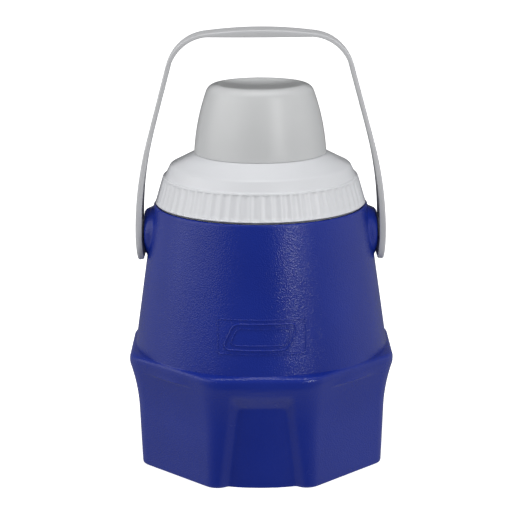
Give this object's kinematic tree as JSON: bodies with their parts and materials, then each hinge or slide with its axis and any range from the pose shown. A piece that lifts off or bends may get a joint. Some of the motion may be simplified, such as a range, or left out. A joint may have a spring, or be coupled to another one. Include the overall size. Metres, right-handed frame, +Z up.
{
  "type": "large water jug",
  "caption": "Insulated water jug with an eight-sided base, conical body, fluted screw lid, pour stopper, cup over the spout and a swinging carrying handle.",
  "frame": {"origin": "centre of the jug's resting face, on its upright axis", "axes": "+Z up the jug's axis, front towards -Y, the handle pivots along X"},
  "size_m": [0.2374, 0.2374, 0.3907],
  "materials": {
    "blue_body": "satin",
    "pale_grey": "satin",
    "white_liner": "satin",
    "insulating_foam": "matte",
    "soft_seal": "matte"
  },
  "bodies": {
    "jug": {"outer_shell": "blue_body", "base_plate": "blue_body", "fill_plug": "blue_body", "body_foam": "insulating_foam", "inner_liner": "white_liner", "pivot_studs": "blue_body"},
    "handle": {"handle": "pale_grey"},
    "lid_seal": {"lid_gasket": "soft_seal"},
    "lid": {"lid_top": "pale_grey", "lid_foam": "insulating_foam", "lid_liner": "white_liner"},
    "stopper_seal": {"stopper_oring": "soft_seal"},
    "stopper": {"stopper_body": "white_liner", "stopper_foam": "insulating_foam", "stopper_cap": "pale_grey"},
    "cup_seal_ring": {"cup_seal": "soft_seal"},
    "cup_lid": {"cup": "pale_grey"}
  },
  "joints": [
    {"name": "handle_swing", "type": "hinge", "parent": "jug", "child": "handle", "pos_m": [0, 0, 0.21], "axis": [1, 0, 0], "range_deg": [-130, 130]},
    {"name": "lid_lift", "type": "slide", "parent": "jug", "child": "lid_seal", "axis": [0, 0, 1], "range_m": [0, 0.0076]},
    {"name": "lid_turn", "type": "hinge", "parent": "lid_seal", "child": "lid", "pos_m": [0, 0, 0.245], "axis": [0, 0, 1], "range_deg": [0, 450]},
    {"name": "stopper_lift", "type": "slide", "parent": "lid", "child": "stopper_seal", "axis": [0, 0, 1], "range_m": [0, 0.0064]},
    {"name": "stopper_turn", "type": "hinge", "parent": "stopper_seal", "child": "stopper", "pos_m": [0, 0, 0.285], "axis": [0, 0, 1], "range_deg": [0, 450]},
    {"name": "cup_lift", "type": "slide", "parent": "lid", "child": "cup_seal_ring", "axis": [0, 0, 1], "range_m": [0, 0.0051]},
    {"name": "cup_turn", "type": "hinge", "parent": "cup_seal_ring", "child": "cup_lid", "pos_m": [0, 0, 0.285], "axis": [0, 0, 1], "range_deg": [0, 360]}
  ],
  "couplings": [
    {"joint": "lid_lift", "follows": "lid_turn", "m_per_rad": 0.00095493},
    {"joint": "stopper_lift", "follows": "stopper_turn", "m_per_rad": 0.00079577},
    {"joint": "cup_lift", "follows": "cup_turn", "m_per_rad": 0.00079577}
  ]
}
